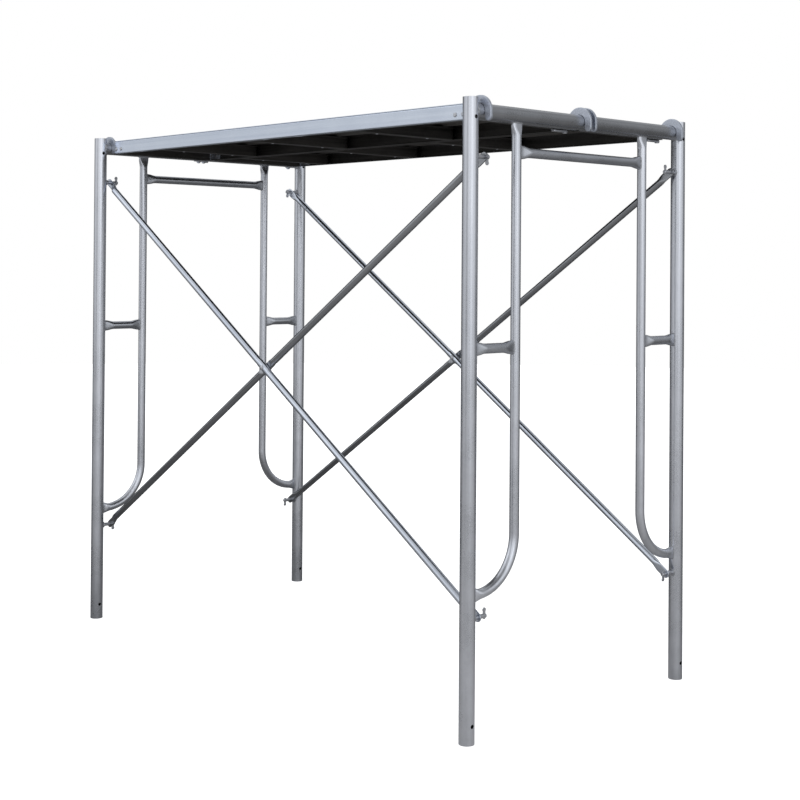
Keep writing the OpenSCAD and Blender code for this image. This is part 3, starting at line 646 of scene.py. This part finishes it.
rivet_zinc = zinc("rivet_zinc", (0.48, 0.49, 0.52), (0.74, 0.75, 0.79), (300.0, 300.0, 300.0),
                  crystals=500.0, smoothest=0.26, roughest=0.42)
rivet_reach, rivet_shank = pair_half + brace_radius + 0.0002, 0.004
centre_head = dome(rivet_reach, 0.0080, 0.0030)
centre_top = centre_head[-1][1]
for side, turn, slopes in (("front", 0.0, ("falling", "rising_shaded")),
                           ("back", math.pi, ("rising_shaded", "falling"))):
    about = Matrix.Rotation(turn, 4, "Z") @ Matrix.Translation((0, -brace_y, brace_z))
    for which, facing, slope in zip(("outer", "inner"), (1, -1), slopes):
        tube = brace_tube(facing)
        place = about @ Matrix.Translation((0, -facing * pair_half, 0))
        bmesh.ops.transform(tube, verts=tube.verts,
                            matrix=place @ Matrix.Rotation(facing * brace_angle, 4, "Y"))
        piece(f"{side}_{which}_brace", tube, [brace_finishes_and_shade[slope]], f"{side}_brace", "brace_tube",
              f"{side}_brace_{which}_tube")
    profile = [(0.0, centre_top)] + centre_head[-2::-1]
    profile += [(rivet_shank, rivet_reach), (rivet_shank, -rivet_reach)]
    profile += [(r, -z) for r, z in centre_head[:-1]] + [(0.0, -centre_top)]
    rivet = turned(profile)
    bmesh.ops.transform(rivet, verts=rivet.verts, matrix=about @ Matrix.Rotation(math.radians(90), 4, "X"))
    piece(f"{side}_brace_centre_rivet", rivet, [rivet_zinc], f"{side}_brace", "pins_and_rivets",
          f"{side}_brace_rivet")

# ---- Brace pins and flip locks
# Turned pins with a collar, welded to the legs. A small plate swings in the slot of each pin on a
# rivet, and its heavy toe hangs down, so that the brace can't slide off.
pin_zinc = zinc("pin_zinc", (0.48, 0.49, 0.52), (0.72, 0.73, 0.77), (300.0, 20.0, 300.0),
                crystals=400.0, smoothest=0.24, roughest=0.40)
lock_zinc = zinc("lock_zinc", (0.46, 0.47, 0.50), (0.70, 0.71, 0.75), (260.0, 260.0, 260.0),
                 crystals=300.0, smoothest=0.30, roughest=0.46)
collar_radius, pin_heights = 0.0100, (0.326, 1.545)
for end, sign in (("right", 1), ("left", -1)):
    pins = soften(copy_of(f"{end}_brace_pins"), 0.0004)
    for outward in (-1, 1):
        for height in pin_heights:
            rim = []
            for i in range(48):
                angle = 2 * math.pi * i / 48
                flat = Vector((math.cos(angle), 0.0, math.sin(angle)))
                depth = saddle(main_radius, collar_radius * flat.x)
                middle = Vector((sign * leg_x, outward * (leg_y - depth), height))
                rim.append((middle + flat * collar_radius, flat))
            add_weld(pins, rim, Vector((0, -outward, 0)), collar_bead)
    piece(f"{end}_turned_pins", pins, [pin_zinc, weld_zinc], "end_frames", "pins_and_rivets",
          f"{end}_brace_pins", even=True)
    piece(f"{end}_lock_pivots", soften(copy_of(f"{end}_lock_rivets"), 0.0004, 3), [rivet_zinc], "end_frames",
          "pins_and_rivets", f"{end}_lock_rivets", even=True)
    for side in ("front", "back"):
        for height in ("top", "bottom"):
            lock = f"{end}_{side}_{height}_lock"
            piece(f"{lock}_plate", soften(copy_of(lock), 0.0006, 3), [lock_zinc], lock, "lock_plate", lock,
                  even=True)

# ---- Planks
# Each plank is a ribbed deck sheet, pressed with rows of raised grip rings, on two lipped side
# rails. A channel closes each end, and three top-hat channels are riveted across under the sheet.
side_zinc = zinc("side_zinc", (0.68, 0.74, 0.86), (0.84, 0.90, 1.00), (1.6, 90.0, 90.0),
                 smoothest=0.16, roughest=0.26)
# A near-black zinc for the underside of the sheet, as painted shade.
deck_underside_shade_zinc = zinc("deck_underside_shade_zinc", (0.080, 0.076, 0.072), (0.210, 0.200, 0.190), (4.0, 150.0, 150.0),
                 smoothest=0.46, roughest=0.66)
shaded_zinc = zinc("shaded_zinc", (0.045, 0.043, 0.041), (0.120, 0.114, 0.108), (4.0, 120.0, 120.0),
                   smoothest=0.40, roughest=0.58)
tread_zinc = zinc("tread_zinc", (0.34, 0.345, 0.36), (0.52, 0.53, 0.56), (4.0, 60.0, 60.0),
                  smoothest=0.38, roughest=0.58)
# A near-black zinc for the end channels and stiffeners, as painted shade under the deck.
cross_shade_zinc = zinc("cross_shade_zinc", (0.045, 0.043, 0.041), (0.115, 0.109, 0.103), (150.0, 6.0, 150.0),
                  smoothest=0.44, roughest=0.62)
rib_pitch, rib_half, sheet_half = 0.07468, 0.011, 0.2115
ring_profile = [(0.0, 0.0002), (0.0024, 0.0002), (0.0034, 0.0011), (0.0044, 0.0011), (0.0062, 0.0),
                (0.0062, -0.0006), (0.0, -0.0006)]
ring_step, ring_rows, ring_margin = 0.048, 0.0125, 0.03
lip_depth = 0.004


def longer_than(least):
    return lambda edge: edge.calc_length() > least


def verts_of(geometry):
    return [v for v in geometry if isinstance(v, bmesh.types.BMVert)]


for side, outward in (("front", -1), ("back", 1)):
    body = f"{side}_plank"
    for which, away in (("outer", outward), ("inner", -outward)):
        node = f"{body}_{which}_rail"
        low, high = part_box(node)
        web = low.y if away < 0 else high.y
        rail = copy_of(node)
        soften(rail, 0.0030, 4, lambda e: e.calc_length() > 1.0
               and all(abs(v.co.y - web) < 1e-4 for v in e.verts))
        soften(rail, 0.0007, 2, longer_than(1.0))
        # Faces that look inward, the web between the lips and every face of the inner rail take the near-black
        # second material as painted shade.
        for face in rail.faces:
            faces_out = face.normal.y * away
            between_lips = low.z + lip_depth < face.calc_center_median().z < high.z - lip_depth
            if which == "inner" or faces_out < -0.2 or between_lips and faces_out < 0.2:
                face.material_index = 1
        piece(f"{node}_steel", rail, [side_zinc, shaded_zinc], body, "side_rail", node, even=True)

    low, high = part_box(f"{body}_sheet")
    middle = (low.y + high.y) / 2
    deck = soften(copy_of(f"{body}_sheet"), 0.0022, 3, longer_than(1.0))
    # Faces that look up take the tread zinc and the edges the rail zinc; the underside keeps the near-black
    # first material, painted shade.
    for face in deck.faces:
        if face.normal.z > 0.2:
            face.material_index = 1
        if abs(face.calc_center_median().y - middle) > sheet_half - 0.0030:
            face.material_index = 2
    flats = [(i - 1.5) * rib_pitch for i in range(4)]
    flats += [s * (2 * rib_pitch + rib_half + sheet_half) / 2 for s in (-1, 1)]
    treads = turned(ring_profile, 10)
    for face in treads.faces:
        face.material_index = 1
    first_ring = treads.verts[:] + treads.edges[:] + treads.faces[:]
    count = int((high.x - low.x - ring_margin) / ring_step)
    for flat in flats:
        for row, rings in ((-1, count + 1), (1, count)):
            for i in range(rings):
                place = Vector(((i - (rings - 1) / 2) * ring_step, middle + flat + row * ring_rows, high.z))
                copied = bmesh.ops.duplicate(treads, geom=first_ring)["geom"]
                bmesh.ops.translate(treads, vec=place, verts=verts_of(copied))
    bmesh.ops.delete(treads, geom=verts_of(first_ring), context="VERTS")
    add_mesh(deck, treads)
    piece(f"{body}_deck", deck, [deck_underside_shade_zinc, tread_zinc, side_zinc], body, "deck_steel", f"{body}_sheet",
          even=True)
    for node, facing in ((f"{body}_left_end", -1), (f"{body}_right_end", 1), (f"{body}_stiffeners", 0)):
        channel = soften(copy_of(node), 0.0012, 3, longer_than(0.2))
        # Faces that look out along the plank, and the tops of the end channels, keep the tread zinc; all other
        # faces, and the whole stiffeners, are near-black as painted shade.
        for face in channel.faces:
            if face.normal.x * facing > 0.2 or facing and face.normal.z > 0.5:
                face.material_index = 1
        piece(f"{node}_steel", channel, [cross_shade_zinc, tread_zinc], body, "deck_steel", node, even=True)

# ---- Hooks and latches
# Thick plate hooks, riveted inside the rails, drop over the headers. Under each end channel a bar
# swings out below the header and keeps the plank from lifting.
hook_zinc = zinc("hook_zinc", (0.50, 0.53, 0.60), (0.74, 0.78, 0.87), (240.0, 240.0, 240.0),
                 crystals=260.0, smoothest=0.36, roughest=0.52)
for side in ("front", "back"):
    body = f"{side}_plank"
    for end in ("left", "right"):
        node = f"{body}_{end}_hooks"
        piece(f"{node}_plates", soften(copy_of(node), 0.0014, 3), [hook_zinc], body, "hook_plate", node,
              even=True)
        node = f"{body}_{end}_latch"
        piece(f"{node}_bar", soften(copy_of(node), 0.0008, 3), [lock_zinc], node, "lock_plate", node,
              even=True)
    node = f"{body}_rivets"
    piece(f"{node}_set", soften(copy_of(node), 0.0007, 3), [rivet_zinc], body, "pins_and_rivets", node,
          even=True)
